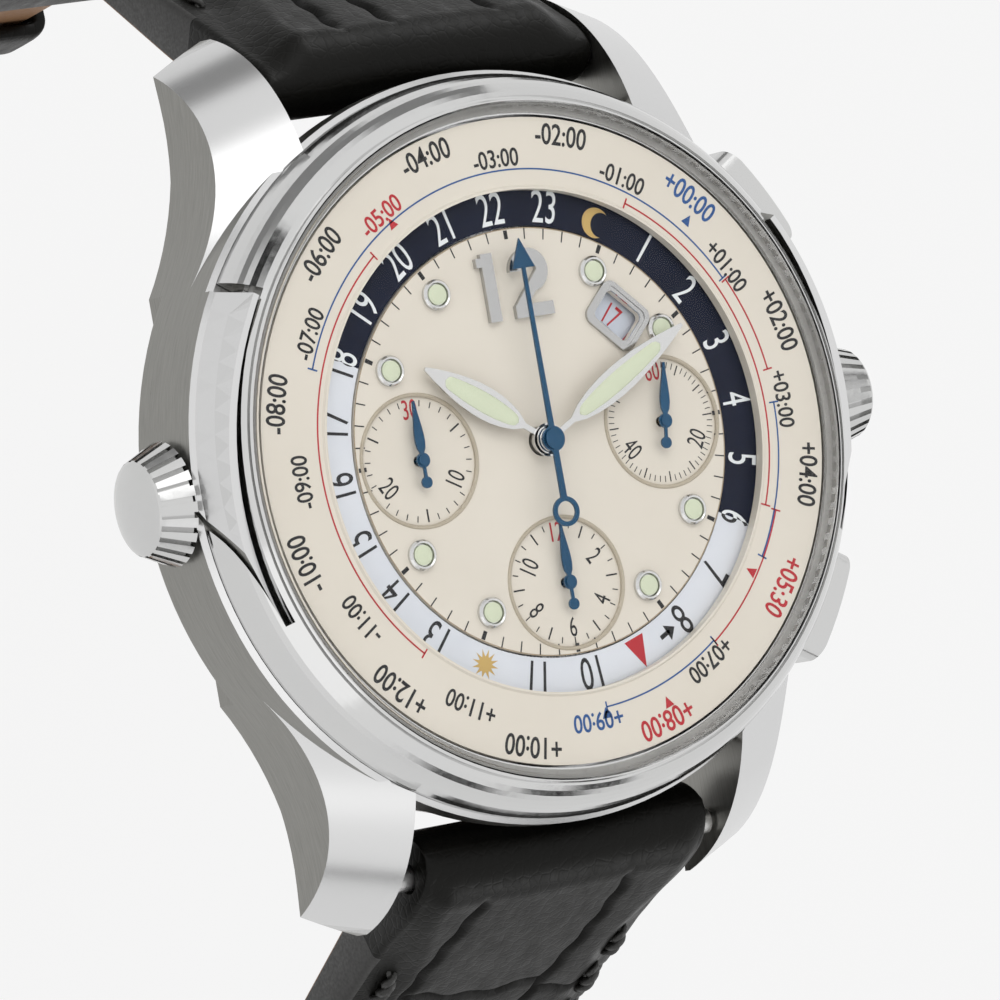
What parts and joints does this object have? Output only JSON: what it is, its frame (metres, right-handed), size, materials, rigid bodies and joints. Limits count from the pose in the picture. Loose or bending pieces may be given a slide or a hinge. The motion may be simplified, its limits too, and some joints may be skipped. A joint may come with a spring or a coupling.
{
  "type": "wristwatch",
  "caption": "Mechanical world-time chronograph wristwatch with a turning zone ring, display case back and leather strap with pin buckle.",
  "frame": {"origin": "centre of the case back's flat outer face", "axes": "+Z out of the dial through the crystal, +Y towards 12 o'clock, +X towards 3 o'clock"},
  "size_m": [0.0489, 0.0831, 0.1201],
  "materials": {
    "polished_steel": "polished",
    "brushed_steel": "brushed",
    "movement_steel": "striped and brushed",
    "sapphire": "clear",
    "gasket_rubber": "matt",
    "gilt_brass": "circular brushed",
    "jewel": "polished",
    "blued_steel": "heat blued",
    "dial_cream": "satin",
    "ring_night": "satin",
    "date_silver": "satin",
    "lume": "matt",
    "strap_leather": "satin"
  },
  "bodies": {
    "case": {"case_middle": "brushed_steel", "bezel": "polished_steel", "crystal": "sapphire", "crystal_gasket": "gasket_rubber", "caseback_ring": "brushed_steel", "caseback_crystal": "sapphire", "caseback_screws": "polished_steel", "caseback_gasket": "gasket_rubber", "movement_holder": "movement_steel", "mainplate": "movement_steel", "chronograph_module": "movement_steel", "barrel_bridge": "movement_steel", "train_bridge": "movement_steel", "balance_cock": "movement_steel", "jewels": "jewel", "bridge_screws": "blued_steel", "pallet_fork": "polished_steel", "hairspring": "blued_steel", "dial": "dial_cream", "small_dial_rims": "polished_steel", "lume_cups": "polished_steel", "lume_dots": "lume", "applied_twelve": "polished_steel", "date_frame": "polished_steel", "crown_tubes": "brushed_steel", "spring_bars": "brushed_steel"},
    "rotor": {"winding_rotor": "movement_steel"},
    "barrel": {"barrel": "gilt_brass"},
    "minutes": {"centre_wheel": "gilt_brass", "minute_hand": "polished_steel"},
    "third": {"third_wheel": "gilt_brass"},
    "seconds": {"fourth_wheel": "gilt_brass", "seconds_hand": "blued_steel"},
    "escape": {"escape_wheel": "polished_steel"},
    "balance": {"balance_wheel": "gilt_brass"},
    "hours": {"hour_hand": "polished_steel"},
    "day_ring": {"day_night_ring": "ring_night"},
    "date": {"date_disc": "date_silver"},
    "chrono_seconds": {"chronograph_hand": "blued_steel"},
    "chrono_minutes": {"minute_counter_hand": "blued_steel"},
    "chrono_hours": {"hour_counter_hand": "blued_steel"},
    "zone_crown": {"zone_crown": "polished_steel", "zone_stem": "brushed_steel"},
    "zone_idler": {"zone_idler": "gilt_brass"},
    "zone_ring": {"zone_ring": "dial_cream"},
    "winding_pinion": {"winding_pinion": "brushed_steel"},
    "winding_crown": {"winding_crown": "polished_steel", "winding_stem": "brushed_steel"},
    "pusher_start": {"pusher_start": "polished_steel"},
    "pusher_reset": {"pusher_reset": "polished_steel"},
    "strap_buckle": {"strap_buckle_half": "strap_leather", "buckle_bar": "brushed_steel", "fixed_keeper": "strap_leather"},
    "strap_hole": {"strap_hole_half": "strap_leather"},
    "buckle": {"buckle_frame": "polished_steel"},
    "tang": {"buckle_tang": "polished_steel"},
    "keeper": {"sliding_keeper": "strap_leather"}
  },
  "joints": [
    {"name": "rotor_turn", "type": "hinge", "parent": "case", "child": "rotor", "pos_m": [0, 0, 0.0023], "axis": [0, 0, 1], "continuous": true},
    {"name": "seconds_turn", "type": "hinge", "parent": "case", "child": "seconds", "pos_m": [0.00809, 0, 0.005], "axis": [0, 0, -1], "continuous": true},
    {"name": "minutes_turn", "type": "hinge", "parent": "case", "child": "minutes", "pos_m": [0, 0, 0.005], "axis": [0, 0, -1], "continuous": true},
    {"name": "hours_turn", "type": "hinge", "parent": "case", "child": "hours", "pos_m": [0, 0, 0.011], "axis": [0, 0, -1], "continuous": true},
    {"name": "third_turn", "type": "hinge", "parent": "case", "child": "third", "pos_m": [0.00437, -0.00168, 0.005], "axis": [0, 0, -1], "continuous": true},
    {"name": "escape_turn", "type": "hinge", "parent": "case", "child": "escape", "pos_m": [0.009, -0.00339, 0.005], "axis": [0, 0, -1], "continuous": true},
    {"name": "barrel_turn", "type": "hinge", "parent": "case", "child": "barrel", "pos_m": [-0.00215, 0.00592, 0.005], "axis": [0, 0, -1], "continuous": true},
    {"name": "day_ring_turn", "type": "hinge", "parent": "case", "child": "day_ring", "pos_m": [0, 0, 0.01], "axis": [0, 0, -1], "continuous": true},
    {"name": "date_turn", "type": "hinge", "parent": "case", "child": "date", "pos_m": [0, 0, 0.0096], "axis": [0, 0, -1], "continuous": true},
    {"name": "balance_swing", "type": "hinge", "parent": "case", "child": "balance", "pos_m": [0.0046, -0.008, 0.004], "axis": [0, 0, 1], "range_deg": [-270, 270], "stiffness_Nm_per_rad": 0.0000003},
    {"name": "chrono_seconds_turn", "type": "hinge", "parent": "case", "child": "chrono_seconds", "pos_m": [0, 0, 0.011], "axis": [0, 0, -1], "continuous": true},
    {"name": "chrono_minutes_turn", "type": "hinge", "parent": "case", "child": "chrono_minutes", "pos_m": [-0.00809, 0, 0.01], "axis": [0, 0, -1], "continuous": true},
    {"name": "chrono_hours_turn", "type": "hinge", "parent": "case", "child": "chrono_hours", "pos_m": [0, -0.00809, 0.01], "axis": [0, 0, -1], "continuous": true},
    {"name": "zone_crown_turn", "type": "hinge", "parent": "case", "child": "zone_crown", "pos_m": [-0.02, 0, 0.0054], "axis": [-1, 0, 0], "continuous": true},
    {"name": "zone_idler_turn", "type": "hinge", "parent": "case", "child": "zone_idler", "pos_m": [-0.01638, 0, 0.009], "axis": [0, 0, 1], "continuous": true},
    {"name": "zone_ring_turn", "type": "hinge", "parent": "case", "child": "zone_ring", "pos_m": [0, 0, 0.01], "axis": [0, 0, 1], "continuous": true},
    {"name": "winding_turn", "type": "hinge", "parent": "case", "child": "winding_pinion", "pos_m": [0.014, 0, 0.0054], "axis": [1, 0, 0], "continuous": true},
    {"name": "crown_pull", "type": "slide", "parent": "winding_pinion", "child": "winding_crown", "axis": [1, 0, 0], "range_m": [0, 0.0016]},
    {"name": "start_push", "type": "slide", "parent": "case", "child": "pusher_start", "axis": [-0.8526, -0.5225, 0], "range_m": [0, 0.0008], "stiffness_N_per_m": 100},
    {"name": "reset_push", "type": "slide", "parent": "case", "child": "pusher_reset", "axis": [-0.8526, 0.5225, 0], "range_m": [0, 0.0008], "stiffness_N_per_m": 100},
    {"name": "strap_buckle_fold", "type": "hinge", "parent": "case", "child": "strap_buckle", "pos_m": [0, 0.023, 0.0034], "axis": [1, 0, 0], "range_deg": [-5, 60]},
    {"name": "strap_hole_fold", "type": "hinge", "parent": "case", "child": "strap_hole", "pos_m": [0, -0.023, 0.0034], "axis": [-1, 0, 0], "range_deg": [-5, 60]},
    {"name": "buckle_fold", "type": "hinge", "parent": "strap_buckle", "child": "buckle", "pos_m": [0, 0.03397, -0.06945], "axis": [1, 0, 0], "range_deg": [-60, 40], "stiffness_Nm_per_rad": 0.0005},
    {"name": "tang_lift", "type": "hinge", "parent": "buckle", "child": "tang", "pos_m": [0, 0.03397, -0.06945], "axis": [1, 0, 0], "range_deg": [0, 70], "stiffness_Nm_per_rad": 0.0001},
    {"name": "keeper_slide", "type": "slide", "parent": "strap_buckle", "child": "keeper", "axis": [0, -0.1045, -0.9945], "range_m": [-0.004, 0.004]}
  ],
  "couplings": [
    {"joint": "minutes_turn", "follows": "seconds_turn", "ratio": 0.016667},
    {"joint": "hours_turn", "follows": "seconds_turn", "ratio": 0.0013889},
    {"joint": "third_turn", "follows": "seconds_turn", "ratio": -0.13333},
    {"joint": "escape_turn", "follows": "seconds_turn", "ratio": -12},
    {"joint": "barrel_turn", "follows": "seconds_turn", "ratio": -0.0020833},
    {"joint": "day_ring_turn", "follows": "seconds_turn", "ratio": -0.00069444},
    {"joint": "chrono_minutes_turn", "follows": "chrono_seconds_turn", "ratio": 0.033333},
    {"joint": "chrono_hours_turn", "follows": "chrono_seconds_turn", "ratio": 0.0013889},
    {"joint": "zone_idler_turn", "follows": "zone_crown_turn", "ratio": -1.6},
    {"joint": "zone_ring_turn", "follows": "zone_crown_turn", "ratio": -0.092086}
  ]
}
